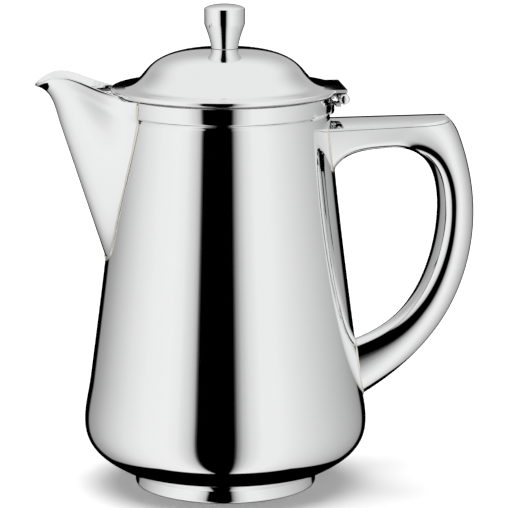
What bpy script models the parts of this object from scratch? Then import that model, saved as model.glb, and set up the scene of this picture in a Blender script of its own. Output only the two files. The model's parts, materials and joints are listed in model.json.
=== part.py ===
"""Stainless steel coffee pot with a beak spout, a hollow handle and a hinged domed lid.

Every length below is in millimetres and becomes metres when a mesh is made. The pot stands on
its foot at Z = 0. The handle points to +X and the spout to -X. The pot's own axis is off the
model's centre, because the handle reaches further than the spout.
"""

import math

import bmesh
import bpy
from mathutils import Vector

MM = 0.001

# Overall sizes
SPOUT_REACH = 73.7
HANDLE_REACH = 98.9
KNOB_TOP_Z = 191.6
SHEET = 0.9
GAP = 0.3
LATHE_STEPS = 40

# Body, radii and heights
BODY_R = 56.1
BODY_WIDEST_Z = 26.0
CONE_START = (53.7, 42.8)
SHOULDER_R = 41.2
SHOULDER_Z = 147.8
GROOVE_Z = 148.9
GROOVE_DEPTH = 0.6
NECK_R = 41.8
NECK_LOW_Z = 150.6
NECK_TOP_Z = 156.4
BOTTOM_R = 36.6
BOTTOM_Z = 5.0
BOTTOM_HOLE_R = 30.0

# Foot
FOOT_R = 36.0
FOOT_TOP_Z = 4.3

# Lid
FLANGE_R = 44.6
FLANGE_TOP_Z = 159.3
FLANGE_LIP_Z = 157.0
DOME_TOP_Z = 174.3
DOME_FOOT_R = 39.5
TAB_HALF_WIDTH = 14.9
TAB_END_X = 46.6
TAB_THICKNESS = 1.15
LID_HOLE_R = 2.2

# Hinge
HINGE_X = 45.4
HINGE_Z = 155.6
KNUCKLE_R = 2.15
KNUCKLE_HOLE_R = 1.3
PIN_R = 1.05
LID_KNUCKLE_HALF = 6.4

# Knob
KNOB_R = 7.95
KNOB_NECK_R = 5.15
KNOB_SEAT_Z = DOME_TOP_Z + GAP
SCREW_R = 1.8

# Spout
SPOUT_BOTTOM_Z = 92.0
SPOUT_SEAM_TOP_Z = 156.4
SPOUT_ROWS = 15
SPOUT_COLUMNS = 10
RIM_LIFT = 5.2
RIM_LIFT_POWER = 2.1

# Handle
HANDLE_CROWN_R = 48.0
HANDLE_CROWN_Z = 146.05
HANDLE_CROWN_SLOPE = math.radians(0.9)
HANDLE_CROWN_ARC = math.radians(25)
HANDLE_WALL = 1.0
HANDLE_BELLY = 4.2
HANDLE_CORNER = math.radians(30)
FINGER_CROWN = 1.6
ARC_STEPS = 5

SOLDER_R = 0.5
SOLDER_SIDES = 6
SEAM_CLEARANCE = 0.5


# ---------------------------------------------------------------- curves

def bezier(p0, p1, p2, p3, steps):
    """Points along a cubic curve, both ends included."""
    points = []
    for i in range(steps + 1):
        t = i / steps
        weights = ((1 - t) ** 3, 3 * t * (1 - t) ** 2, 3 * t * t * (1 - t), t ** 3)
        points.append(tuple(sum(w * p[k] for w, p in zip(weights, (p0, p1, p2, p3)))
                            for k in range(len(p0))))
    return points


def chain(*curves):
    """Joins curves that share their end points."""
    points = list(curves[0])
    for curve in curves[1:]:
        points.extend(curve[1:])
    return points


def blend(a, b, t):
    return a + (b - a) * t


def smooth(t):
    t = min(max(t, 0.0), 1.0)
    return t * t * (3 - 2 * t)


def read_curve(points, value, key=1):
    """Radius of an outline at one height, by straight lines between its points."""
    for low, high in zip(points, points[1:]):
        a, b = low[key], high[key]
        if min(a, b) <= value <= max(a, b) and a != b:
            return blend(low[1 - key], high[1 - key], (value - a) / (b - a))
    return points[0][1 - key] if value < points[0][key] else points[-1][1 - key]


def inset(outline, distance):
    """Moves an open outline sideways, to its left, by a sheet's thickness."""
    moved = []
    for i, point in enumerate(outline):
        before = Vector(outline[max(i - 1, 0)])
        after = Vector(outline[min(i + 1, len(outline) - 1)])
        along = (after - before).normalized()
        moved.append((point[0] - along.y * distance, point[1] + along.x * distance))
    return moved


# ---------------------------------------------------------------- meshes and objects

def material(name, colour, roughness, metallic=1.0):
    mat = bpy.data.materials.new(name)
    mat.use_nodes = True
    shader = mat.node_tree.nodes["Principled BSDF"]
    shader.inputs["Base Color"].default_value = (*colour, 1.0)
    shader.inputs["Roughness"].default_value = roughness
    shader.inputs["Metallic"].default_value = metallic
    return mat


def make_object(name, vertices, faces, mat, parent, sharp_angle=35):
    """One closed piece. Vertices are in millimetres from the pot's axis, and the mesh is
    stored from its parent's origin, so that a moving piece turns about its hinge."""
    origin = Vector(parent.location) / MM
    if parent.parent is None:
        origin = Vector((0, 0, 0))
    mesh = bpy.data.meshes.new(name)
    mesh.from_pydata([(Vector(v) - origin) * MM for v in vertices], [], faces)
    work = bmesh.new()
    work.from_mesh(mesh)
    bmesh.ops.recalc_face_normals(work, faces=work.faces)
    bmesh.ops.triangulate(work, faces=work.faces)
    work.to_mesh(mesh)
    work.free()
    mesh.materials.append(mat)
    mesh.shade_smooth()
    mesh.set_sharp_from_angle(angle=math.radians(sharp_angle))
    obj = bpy.data.objects.new(name, mesh)
    bpy.context.scene.collection.objects.link(obj)
    obj.parent = parent
    return obj


def as_cutter(obj):
    obj.hide_render = True
    obj.display_type = "WIRE"
    return obj


def boolean(obj, other, operation):
    mod = obj.modifiers.new(operation.lower(), "BOOLEAN")
    mod.operation = operation
    mod.solver = "EXACT"
    mod.object = other


def turned_mesh(outline, steps, axis_x=0.0):
    """A closed outline of (radius, height) turned round a vertical axis."""
    vertices = []
    rings = []
    for radius, height in outline:
        if radius < 1e-6:
            rings.append([len(vertices)] * steps)
            vertices.append((axis_x, 0.0, height))
            continue
        rings.append(list(range(len(vertices), len(vertices) + steps)))
        for k in range(steps):
            angle = 2 * math.pi * k / steps
            vertices.append((axis_x + radius * math.cos(angle), radius * math.sin(angle), height))
    faces = []
    for i, ring in enumerate(rings):
        other = rings[(i + 1) % len(rings)]
        for k in range(steps):
            n = (k + 1) % steps
            corners = []
            for v in (ring[k], ring[n], other[n], other[k]):
                if v not in corners:
                    corners.append(v)
            if len(corners) > 2:
                faces.append(corners)
    return vertices, faces


def turned(name, outline, mat, parent, steps=LATHE_STEPS):
    return make_object(name, *turned_mesh(outline, steps), mat, parent)


def lofted_mesh(rings, closed=False):
    """Skin over rings with equal numbers of points, with flat ends unless it is a loop."""
    count = len(rings[0])
    vertices = [point for ring in rings for point in ring]
    faces = []
    last = len(rings) if closed else len(rings) - 1
    for i in range(last):
        a, b = i * count, ((i + 1) % len(rings)) * count
        for k in range(count):
            n = (k + 1) % count
            faces.append((a + k, a + n, b + n, b + k))
    if not closed:
        faces.append(tuple(range(count)))
        faces.append(tuple(range(len(vertices) - count, len(vertices))))
    return vertices, faces


def lofted(name, rings, mat, parent, closed=False):
    return make_object(name, *lofted_mesh(rings, closed), mat, parent)


def box(name, low, high, mat, parent):
    ring = [(low[0], low[1]), (high[0], low[1]), (high[0], high[1]), (low[0], high[1])]
    return lofted(name, [[(x, y, z) for x, y in ring] for z in (low[2], high[2])], mat, parent)


def rod_rings(radii_and_y, x, z, sides):
    """Rings of a round piece that lies along Y."""
    rings = []
    for radius, y in radii_and_y:
        turn = [2 * math.pi * k / sides for k in range(sides)]
        rings.append([(x + radius * math.cos(a), y, z + radius * math.sin(a)) for a in turn])
    return rings


def bead(name, centres, mat, parent, closed=False):
    """A thin round bead of solder along a line of centres."""
    rings = []
    count = len(centres)
    for i, centre in enumerate(centres):
        before = centres[(i - 1) % count] if closed else centres[max(i - 1, 0)]
        after = centres[(i + 1) % count] if closed else centres[min(i + 1, count - 1)]
        along = (after - before).normalized()
        side = Vector((centre.x, centre.y, 0)).cross(along).normalized()
        up = along.cross(side)
        turn = [2 * math.pi * k / SOLDER_SIDES for k in range(SOLDER_SIDES)]
        rings.append([tuple(centre + (side * math.cos(a) + up * math.sin(a)) * SOLDER_R)
                      for a in turn])
    return lofted(name, rings, mat, parent, closed)


# ---------------------------------------------------------------- body

def body_cone():
    """The body's outside from the shoulder down to the base, as (radius, height)."""
    cone = bezier((SHOULDER_R, SHOULDER_Z), (44.2, 112.8), (49.0, 77.8), CONE_START, 6)
    shoulder = bezier(CONE_START, (54.6, 36.6), (BODY_R, 31.5), (BODY_R, BODY_WIDEST_Z), 3)
    base = bezier((BODY_R, BODY_WIDEST_Z), (BODY_R, 14.5), (48.0, 11.0), (BOTTOM_R, BOTTOM_Z), 6)
    return chain(cone, shoulder, base)


def body_outside():
    neck = [(NECK_R - 0.4, NECK_TOP_Z), (NECK_R, NECK_TOP_Z - 0.4), (NECK_R - 0.2, GROOVE_Z + 0.8),
            (SHOULDER_R - GROOVE_DEPTH + 0.2, GROOVE_Z)]
    return neck + body_cone()


def body_radius(z):
    return read_curve(body_outside(), z)


def joint_radius(z):
    """The body's radius with its groove bridged, as a piece soldered over it does."""
    if SHOULDER_Z < z < NECK_LOW_Z:
        return blend(SHOULDER_R, NECK_R, (z - SHOULDER_Z) / (NECK_LOW_Z - SHOULDER_Z))
    return body_radius(z)


def make_pot_body(steel, parent):
    outside = body_outside()
    inner_wall = inset(body_cone(), -SHEET)[::-1]
    inner_wall[0] = (BOTTOM_R - 0.5, BOTTOM_Z + SHEET)
    lip = [(BOTTOM_HOLE_R, BOTTOM_Z - 0.4), (BOTTOM_HOLE_R, BOTTOM_Z + SHEET - 0.4)]
    mouth = [(NECK_R - SHEET, GROOVE_Z + 1.2), (NECK_R - SHEET, NECK_TOP_Z)]
    body = turned("pot_body", outside + lip + inner_wall + mouth, steel, parent)
    boolean(body, spout_window(steel, parent), "DIFFERENCE")


def spout_window(mat, parent):
    """The opening in the body's wall that lets the coffee into the spout."""
    heights = (99.0, 103.0, 117.0, 132.0, 144.5)
    edge = [(seam_half_width(z) - 5.0, z) for z in heights]
    outline = edge + [(-y, z) for y, z in edge[::-1]]
    near, far = -BODY_R - 4, -NECK_R + 12
    rings = [[(x, y, z) for y, z in outline] for x in (near, far)]
    return as_cutter(lofted("cutter_spout_window", rings, mat, parent))


def make_body_cutter(mat, parent):
    """The body's outside with the clearance that soldered pieces keep from it."""
    outline = [(r + GAP, z) for r, z in body_outside()]
    outline = [(0, NECK_TOP_Z + 5), (NECK_R + GAP, NECK_TOP_Z + 5)] + outline + [(0, BOTTOM_Z)]
    return as_cutter(turned("cutter_body", outline, mat, parent))


def make_foot_ring(steel, parent):
    outline = [(FOOT_R + 0.3, FOOT_TOP_Z), (FOOT_R, 2.6), (FOOT_R, 1.2), (FOOT_R - 0.3, 0.3),
               (FOOT_R - 0.8, 0.0), (FOOT_R - 2.4, 0.0), (FOOT_R - 2.8, 0.4),
               (FOOT_R - 2.6, 1.2), (FOOT_R - 1.0, 1.8), (FOOT_R - 0.9, 2.6),
               (FOOT_R - 0.7, FOOT_TOP_Z)]
    return turned("foot_ring", outline, steel, parent)


def make_base_plate(steel, parent):
    low = BOTTOM_Z + SHEET - 0.4 + GAP
    edge_r = BOTTOM_R - 2.2
    outline = [(0, low + 1.2 + SHEET), (14, low + 1.0 + SHEET), (25, low + 0.3 + SHEET),
               (28, low + SHEET), (edge_r, low + SHEET), (edge_r, low), (28, low),
               (25, low + 0.3), (14, low + 1.0), (0, low + 1.2)]
    return turned("base_plate", outline, steel, parent)


def make_mouth_ring(steel, parent):
    outer = NECK_R - SHEET - GAP
    inner = outer - SHEET
    top = NECK_TOP_Z - 0.2
    low = GROOVE_Z + 1.8
    return turned("mouth_ring", [(outer, top), (outer, low), (inner, low), (inner, top)],
                  steel, parent)


# ---------------------------------------------------------------- spout

def seam_half_width(z):
    """Half the width of the spout where it meets the body."""
    lower = bezier((3.5, SPOUT_BOTTOM_Z), (8.5, 92.6), (11.0, 96.0), (12.0, 102.0), 6)
    upper = bezier((12.0, 102.0), (14.5, 117.0), (20.5, 133.0), (22.3, SPOUT_SEAM_TOP_Z), 6)
    return read_curve(chain(lower, upper), z)


def keel():
    """The spout's front line, as (x, z), from the body up to the lip."""
    bottom = (-body_radius(SPOUT_BOTTOM_Z) - GAP, SPOUT_BOTTOM_Z)
    bend = (-64.4, 145.2)
    straight = [(blend(bottom[0], bend[0], t), blend(bottom[1], bend[1], t))
                for t in (i / 8 for i in range(9))]
    lip = bezier(bend, (-66.3, 151.0), (-67.0, 158.8), (-SPOUT_REACH, 160.4), 6)
    return chain(straight, lip)


def on_body(x, y, z):
    """Pushes a point out to the body's surface, and keeps it under the lid's flange."""
    radius = math.hypot(x, y)
    clear = body_radius(min(z, NECK_TOP_Z)) + GAP
    scale = max(clear / radius, 1.0)
    if radius < FLANGE_R + GAP:
        z = min(z, NECK_TOP_Z)
    return Vector((x * scale, y * scale, z))


def spout_row(index, front):
    """One row across the spout, from its +Y seam round the keel to its -Y seam."""
    s = index / (SPOUT_ROWS - 1)
    seam_z = blend(SPOUT_BOTTOM_Z, SPOUT_SEAM_TOP_Z, s)
    width = seam_half_width(seam_z)
    start_x = -math.sqrt((joint_radius(seam_z) + GAP) ** 2 - width ** 2)
    rim = smooth((s - 0.55) / 0.45)
    half = bezier((0.0, 1.0), (blend(0.30, 0.34, rim), blend(0.68, 0.40, rim)),
                  (1.0, blend(0.46, 0.72, rim)), (1.0, 0.0), SPOUT_COLUMNS)
    row = []
    for along, across in half:
        lift = RIM_LIFT * rim * rim * math.sin(math.pi * along ** RIM_LIFT_POWER)
        row.append((blend(start_x, front[0], along), width * across,
                    blend(seam_z, front[1], along) + lift))
    mirrored = [(x, -y, z) for x, y, z in row[-2::-1]]
    points = [on_body(*p) for p in row + mirrored]
    if index == 0:
        points = [Vector((p.x, p.y, SPOUT_BOTTOM_Z)) for p in points]
    return points


def spout_grid():
    """Rows of points on the spout's outside, from its foot up to its rim."""
    return [spout_row(i, front) for i, front in enumerate(keel())]


def grid_normals(grid):
    """Unit normals that point out of the spout."""
    normals = []
    for i, row in enumerate(grid):
        up, down = grid[min(i + 1, len(grid) - 1)], grid[max(i - 1, 0)]
        line = []
        for j in range(len(row)):
            across = row[min(j + 1, len(row) - 1)] - row[max(j - 1, 0)]
            line.append(across.cross(up[j] - down[j]).normalized())
        normals.append(line)
    return normals


def make_spout(steel, parent):
    outer = spout_grid()
    normals = grid_normals(outer)
    inner = []
    for row, line in zip(outer, normals):
        inner.append([on_body(*(p - n * SHEET)) for p, n in zip(row, line)])
    columns = len(outer[0])
    vertices = [p for row in outer for p in row] + [p for row in inner for p in row]
    shift = len(outer) * columns
    faces = []
    for i in range(len(outer) - 1):
        for j in range(columns - 1):
            a = i * columns + j
            quad = (a, a + 1, a + columns + 1, a + columns)
            faces.append(quad)
            faces.append(tuple(v + shift for v in quad[::-1]))
    border = list(range(columns))
    border += [i * columns + columns - 1 for i in range(1, len(outer))]
    border += [(len(outer) - 1) * columns + j for j in range(columns - 2, -1, -1)]
    border += [i * columns for i in range(len(outer) - 2, 0, -1)]
    for a, b in zip(border, border[1:] + border[:1]):
        faces.append((b, a, a + shift, b + shift))
    return make_object("spout", [tuple(v) for v in vertices], faces, steel, parent)


def seam_centres(edge, middle):
    """Centres for a bead beside a joint's edge, clear of the body and of the joined piece."""
    centres = []
    closed = (edge[0] - edge[-1]).length < 4.0
    for i, point in enumerate(edge):
        before = edge[i - 1] if closed or i > 0 else edge[0]
        after = edge[(i + 1) % len(edge)] if closed or i + 1 < len(edge) else edge[-1]
        away = Vector((point.x, point.y, 0)).normalized()
        aside = (after - before).cross(away).normalized()
        if aside.dot(point - middle) < 0:
            aside.negate()
        centres.append(point + away * SOLDER_R + aside * (SOLDER_R + SEAM_CLEARANCE))
    return centres


def make_spout_seam(solder, parent):
    """The line of solder that runs down one side of the spout, under it and up the other."""
    grid = spout_grid()
    edge = [row[0] for row in grid[:0:-1]] + grid[0] + [row[-1] for row in grid[1:]]
    middle = Vector((-body_radius(SPOUT_SEAM_TOP_Z), 0.0, 140.0))
    centres = seam_centres(edge, middle)
    centres[0].z -= SOLDER_R
    centres[-1].z -= SOLDER_R
    return bead("spout_seam", centres, solder, parent)


# ---------------------------------------------------------------- handle

HANDLE_INSIDE = (
    ((38.0, 119.0), (42.5, 133.0), (47.5, 135.1), (66.0, 135.7)),
    ((66.0, 135.7), (72.5, 135.7), (77.5, 133.6), (80.9, 129.7)),
    ((80.9, 129.7), (84.3, 125.8), (86.4, 119.0), (86.4, 110.0)),
    ((86.4, 110.0), (86.4, 98.0), (83.0, 83.5), (76.0, 73.0)),
    ((76.0, 73.0), (69.0, 62.0), (59.0, 57.0), (46.0, 53.2)),
)
HANDLE_BACK = (
    ((37.0, 150.0), (46.0, 150.0), (60.0, 150.0), (76.0, 150.0)),
    ((76.0, 150.0), (84.0, 150.0), (89.5, 147.0), (92.3, 140.5)),
    ((92.3, 140.5), (94.5, 135.0), (HANDLE_REACH, 122.0), (HANDLE_REACH, 107.0)),
    ((HANDLE_REACH, 107.0), (HANDLE_REACH, 93.0), (95.2, 78.0), (87.6, 65.5)),
    ((87.6, 65.5), (79.0, 51.3), (64.5, 38.5), (46.0, 29.6)),
)
HANDLE_HALF_WIDTH = ((14.4, 13.8, 13.2, 12.6), (12.6, 12.3, 12.2, 12.2), (12.2, 12.2, 12.2, 12.2),
                     (12.2, 12.0, 10.4, 9.0), (9.0, 7.8, 7.2, 6.6))
HANDLE_ROUNDNESS = ((9.0, 6.0, 3.6, 3.2), (3.2, 3.1, 2.8, 2.6), (2.6, 2.4, 2.3, 2.2),
                    (2.2, 2.2, 2.2, 2.2), (2.2, 2.2, 2.2, 2.2))


def handle_stations(steps=ARC_STEPS):
    """Stations along the handle: inside point, back point, half width, squareness."""
    inside = chain(*[bezier(*curve, steps) for curve in HANDLE_INSIDE])
    back = chain(*[bezier(*curve, steps) for curve in HANDLE_BACK])
    widths = chain(*[bezier(*[(w,) for w in curve], steps) for curve in HANDLE_HALF_WIDTH])
    powers = chain(*[bezier(*[(p,) for p in curve], steps) for curve in HANDLE_ROUNDNESS])
    return [(Vector(i), Vector(b), w[0], p[0])
            for i, b, w, p in zip(inside, back, widths, powers)]


def handle_section(station, wall=0.0, open_face=0.0, points=14):
    """Widest a little way out from the finger side and round on the back, shrunk by a
    wall's thickness. An open face runs straight out past the finger side, so that a cutter of
    this shape opens it."""
    inside, back, half_width, power = station
    depth = (back - inside).length
    outward = (back - inside) / depth
    across_and_out = []
    for k in range(points + 1):
        angle = blend(-HANDLE_CORNER, math.pi + HANDLE_CORNER, k / points)
        side, rise = math.cos(angle), math.sin(angle)
        if rise < 0:
            across_and_out.append((side, HANDLE_BELLY * (1 + rise / math.sin(HANDLE_CORNER))))
        else:
            across = math.copysign(abs(side) ** (2 / power), side)
            out = blend(HANDLE_BELLY, depth - wall, rise ** (2 / power))
            across_and_out.append((across, out))
    if open_face:
        corner = math.cos(HANDLE_CORNER)
        across_and_out = [(corner, -open_face)] + across_and_out + [(-corner, -open_face)]
    ring = []
    for across, out in across_and_out:
        flat = inside + outward * out
        ring.append((flat.x, (half_width - wall) * across, flat.y))
    return ring


def finger_face(station, half, steps):
    """Points across the crowned finger side of the handle, from one edge to the other."""
    inside, back, _, _ = station
    outward = (back - inside).normalized()
    points = []
    for k in range(steps + 1):
        y = half * (1 - 2 * k / steps)
        flat = inside - outward * FINGER_CROWN * (1 - (y / half) ** 2)
        points.append(Vector((flat.x, y, flat.y)))
    return points


def crown(name, radius, mat, parent):
    """A block over the whole handle, whose top is the crowned top of the upper arm."""
    rings = []
    for x in (30.0, HANDLE_REACH + 12.0):
        centre = HANDLE_CROWN_Z - HANDLE_CROWN_R + (x - HINGE_X) * math.tan(HANDLE_CROWN_SLOPE)
        turn = [HANDLE_CROWN_ARC * ((k + 0.5) / 8 - 1) for k in range(16)]
        ring = [(x, radius * math.sin(a), centre + radius * math.cos(a)) for a in turn]
        half = radius * math.sin(HANDLE_CROWN_ARC)
        rings.append(ring + [(x, half, BODY_WIDEST_Z), (x, -half, BODY_WIDEST_Z)])
    return as_cutter(lofted(name, rings, mat, parent))


def make_handle(steel, parent, body_cutter):
    stations = handle_stations()
    outside = [handle_section(s) for s in stations]
    hollow = [handle_section(s, HANDLE_WALL, 3.0) for s in stations]
    for ring, end in ((hollow[0], 0), (hollow[-1], len(hollow) + 1)):
        hollow.insert(end, [(x - 2.0, y, z) for x, y, z in ring])
    top = crown("cutter_crown_top", HANDLE_CROWN_R, steel, parent)
    under_plate = crown("cutter_crown_under", HANDLE_CROWN_R - SHEET, steel, parent)
    shell_top = crown("cutter_crown_shell", HANDLE_CROWN_R - SHEET - GAP, steel, parent)

    shell = lofted("handle_shell", outside, steel, parent)
    boolean(shell, as_cutter(lofted("cutter_handle_hollow", hollow, steel, parent)), "DIFFERENCE")
    boolean(shell, shell_top, "INTERSECT")
    boolean(shell, body_cutter, "DIFFERENCE")

    plate = lofted("handle_top_plate", outside, steel, parent)
    boolean(plate, top, "INTERSECT")
    boolean(plate, under_plate, "DIFFERENCE")
    boolean(plate, body_cutter, "DIFFERENCE")

    strip = []
    for station in stations:
        inside, back, half_width, _ = station
        outward = (back - inside).normalized() * SHEET
        half = (half_width - HANDLE_WALL) * math.cos(HANDLE_CORNER) - GAP
        face = finger_face(station, half, 6)
        under = [p + Vector((outward.x, 0, outward.y)) for p in face[::-1]]
        strip.append([tuple(p) for p in face + under])
    inner_plate = lofted("handle_inner_plate", strip, steel, parent)
    boolean(inner_plate, body_cutter, "DIFFERENCE")


def seam_point(rail):
    """Where a line along the handle comes out of the body, and which way it runs there."""
    for before, after in zip(rail, rail[1:]):
        a = math.hypot(before.x, before.y) - body_radius(before.z) - GAP
        b = math.hypot(after.x, after.y) - body_radius(after.z) - GAP
        if a <= 0 < b:
            return before.lerp(after, a / (a - b))
    return None


def handle_edge(rails):
    """The line where the handle meets the body."""
    points = [seam_point(rail) for rail in rails]
    return [point for point in points if point is not None]


def make_handle_seams(solder, parent):
    fine = []
    for station in handle_stations(16):
        ring = [Vector(p) for p in handle_section(station, points=18)]
        fine.append(ring + finger_face(station, ring[-1].y, 6)[1:-1])
    count = len(fine[0])
    upper = [[ring[k] for ring in fine[:24]] for k in range(count)]
    lower = [[ring[k] for ring in fine[:40:-1]] for k in range(count)]
    top_edge = HANDLE_CROWN_Z - SHEET - 2 * SOLDER_R - 1.2
    around = handle_edge(upper)
    start = next(k for k in range(len(around)) if around[k - 1].z > top_edge >= around[k].z)
    around = [p for p in around[start:] + around[:start] if p.z <= top_edge]
    bead("handle_upper_seam", seam_centres(around, Vector((42.0, 0.0, 137.0))), solder, parent)
    bead("handle_lower_seam", seam_centres(handle_edge(lower), Vector((54.0, 0.0, 44.0))),
         solder, parent, closed=True)


# ---------------------------------------------------------------- hinge

def knuckle(name, low_y, high_y, mat, parent):
    outline = [(KNUCKLE_R, low_y), (KNUCKLE_R, high_y), (KNUCKLE_HOLE_R, high_y),
               (KNUCKLE_HOLE_R, low_y)]
    return lofted(name, rod_rings(outline, HINGE_X, HINGE_Z, 24), mat, parent, closed=True)


def make_body_leaf(steel, parent):
    """A curved leaf soldered to the neck, with a knuckle at each end."""
    inner, outer = NECK_R + GAP, NECK_R + GAP + SHEET
    half_angle = math.asin((TAB_HALF_WIDTH - 0.2) / inner)
    low, high = GROOVE_Z + 0.7, HINGE_Z - KNUCKLE_R - GAP
    rings = []
    for k in range(13):
        a = half_angle * (k / 6 - 1)
        rings.append([(r * math.cos(a), r * math.sin(a), z)
                      for r, z in ((inner, low), (outer, low), (outer, high), (inner, high))])
    leaf = lofted("hinge_body_leaf", rings, steel, parent)
    near, far = LID_KNUCKLE_HALF + GAP, TAB_HALF_WIDTH
    for side, name in ((1, "left"), (-1, "right")):
        low_y, high_y = sorted((side * near, side * far))
        part = as_cutter(knuckle("guide_knuckle_" + name, low_y, high_y, steel, parent))
        low_y, high_y = sorted((side * (near + 0.2), side * (far - 0.4)))
        web = as_cutter(box("guide_web_" + name, (NECK_R + 0.45, low_y, high - 0.5),
                            (HINGE_X - 1.2, high_y, HINGE_Z - KNUCKLE_HOLE_R - 0.25),
                            steel, parent))
        boolean(leaf, web, "UNION")
        boolean(leaf, part, "UNION")
    return leaf


def make_hinge_pin(steel, parent):
    """A plain pin with a low riveted head at each end."""
    half = TAB_HALF_WIDTH + GAP
    head = [(1.1, half + 0.7), (1.8, half + 0.4), (2.0, half)]
    outline = head + [(PIN_R, half), (PIN_R, -half)] + [(r, -y) for r, y in head[::-1]]
    return lofted("hinge_pin", rod_rings(outline, HINGE_X, HINGE_Z, 20), steel, parent)


def make_lid_leaf(steel, hinge):
    """The lid's half of the hinge: one knuckle and a short leaf under the tab."""
    half = LID_KNUCKLE_HALF
    leaf = knuckle("hinge_lid_leaf", -half, half, steel, hinge)
    low_z = NECK_TOP_Z + 0.4
    plate = box("guide_lid_leaf", (NECK_R - 2.4, -half + 0.1, low_z),
                (HINGE_X - 0.3, half - 0.1, HINGE_Z + KNUCKLE_R - 0.05), steel, hinge)
    boolean(leaf, as_cutter(plate), "UNION")
    return leaf


# ---------------------------------------------------------------- lid

def dome_outside():
    """The dome's outside from the middle hole down to the flange."""
    crest = bezier((LID_HOLE_R, DOME_TOP_Z), (16.0, DOME_TOP_Z), (25.5, 172.3), (30.9, 165.7), 6)
    foot = bezier((30.9, 165.7), (33.6, 162.4), (36.0, 159.5), (DOME_FOOT_R, 159.4), 4)
    return chain(crest, foot)


def make_lid(steel, hinge):
    dome = dome_outside()
    under = inset(dome, -SHEET)[::-1]
    under[-1] = (LID_HOLE_R, DOME_TOP_Z - SHEET)
    low = FLANGE_TOP_Z - SHEET
    rim = [(FLANGE_R - 0.7, FLANGE_TOP_Z), (FLANGE_R - 0.15, FLANGE_TOP_Z - 0.3),
           (FLANGE_R, FLANGE_TOP_Z - 0.9), (FLANGE_R - 0.1, FLANGE_LIP_Z + 0.4),
           (FLANGE_R - 0.5, FLANGE_LIP_Z), (FLANGE_R - 1.0, FLANGE_LIP_Z + 0.4),
           (FLANGE_R - 1.1, low)]
    lid = turned("lid", dome + rim + under, steel, hinge)
    top = FLANGE_TOP_Z
    relief = box("cutter_lid_relief", (NECK_R - 2.0, -TAB_HALF_WIDTH - 1.2, FLANGE_LIP_Z - 1),
                 (FLANGE_R + 2, TAB_HALF_WIDTH + 1.2, top - TAB_THICKNESS), steel, hinge)
    tab = box("guide_lid_tab", (DOME_FOOT_R + 0.8, -TAB_HALF_WIDTH, top - TAB_THICKNESS),
              (TAB_END_X, TAB_HALF_WIDTH, top), steel, hinge)
    boolean(lid, as_cutter(relief), "DIFFERENCE")
    boolean(lid, as_cutter(tab), "UNION")
    return lid


def make_locating_ring(steel, hinge):
    outer = NECK_R - 2 * (SHEET + GAP) - 0.5
    inner = outer - SHEET
    top = FLANGE_TOP_Z - SHEET - GAP
    low = GROOVE_Z + 3.5
    outline = [(outer, top), (outer, low + 0.5), (outer - 0.3, low), (inner, low), (inner, top)]
    return turned("lid_locating_ring", outline, steel, hinge)


def make_knob(steel, hinge):
    dome = bezier((0.0, KNOB_TOP_Z), (3.5, KNOB_TOP_Z), (6.2, 190.7), (7.5, 189.8), 4)
    edge = [(KNOB_R, 189.2), (KNOB_R, 183.9)]
    taper = bezier((KNOB_R, 183.9), (7.0, 182.1), (5.7, 179.0), (KNOB_NECK_R, KNOB_SEAT_Z), 6)
    hole_r = SCREW_R + GAP
    outline = chain(dome, [dome[-1]] + edge, taper) + [(hole_r, KNOB_SEAT_Z), (hole_r, 183.2),
                                                       (0, 183.6)]
    return turned("knob", outline, steel, hinge, 32)


def make_knob_screw(steel, hinge):
    """A pan-head screw that comes up through the lid into the knob."""
    head_top = DOME_TOP_Z - SHEET - GAP - 0.8 - GAP
    outline = [(0, 182.6), (SCREW_R - 0.4, 182.6), (SCREW_R, 182.1), (SCREW_R, head_top),
               (3.6, head_top), (3.6, head_top - 1.0), (2.9, head_top - 2.0), (0, head_top - 2.3)]
    screw = turned("knob_screw", outline, steel, hinge, 24)
    slot = box("cutter_screw_slot", (-5, -0.4, head_top - 3), (5, 0.4, head_top - 1.3), steel,
               hinge)
    boolean(screw, as_cutter(slot), "DIFFERENCE")
    return screw


def make_knob_washer(steel, hinge):
    top = DOME_TOP_Z - SHEET - GAP
    outline = [(5.2, top), (5.2, top - 0.8), (LID_HOLE_R, top - 0.8), (LID_HOLE_R, top)]
    return turned("knob_washer", outline, steel, hinge, 32)


# ---------------------------------------------------------------- assembly

def add_empty(name, location, parent=None):
    empty = bpy.data.objects.new(name, None)
    empty.location = Vector(location) * MM
    empty.parent = parent
    bpy.context.scene.collection.objects.link(empty)
    return empty


def build():
    for obj in list(bpy.data.objects):
        bpy.data.objects.remove(obj)

    polished = material("polished_steel", (0.80, 0.81, 0.82), 0.06)
    satin = material("satin_steel", (0.70, 0.70, 0.70), 0.32)
    solder = material("solder", (0.72, 0.68, 0.62), 0.35)

    pot_axis = add_empty("pot_axis", ((SPOUT_REACH - HANDLE_REACH) / 2, 0, 0))
    lid_hinge = add_empty("lid_hinge", (HINGE_X, 0, HINGE_Z), pot_axis)

    body_cutter = make_body_cutter(polished, pot_axis)
    make_pot_body(polished, pot_axis)
    make_foot_ring(polished, pot_axis)
    make_base_plate(satin, pot_axis)
    make_mouth_ring(satin, pot_axis)
    make_spout(polished, pot_axis)
    make_spout_seam(solder, pot_axis)
    make_handle(polished, pot_axis, body_cutter)
    make_handle_seams(solder, pot_axis)
    make_body_leaf(polished, pot_axis)
    make_hinge_pin(polished, pot_axis)

    make_lid(polished, lid_hinge)
    make_lid_leaf(polished, lid_hinge)
    make_locating_ring(satin, lid_hinge)
    make_knob(polished, lid_hinge)
    make_knob_screw(satin, lid_hinge)
    make_knob_washer(satin, lid_hinge)
    bpy.context.view_layer.update()


build()
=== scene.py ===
"""The looks of the coffee pot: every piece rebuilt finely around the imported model.

Shapes are worked out in millimetres from the pot's own axis, with the handle to +X and the
spout to -X, and become metres in the frame's coordinates when a piece is made.
"""

import json
import math

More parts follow.
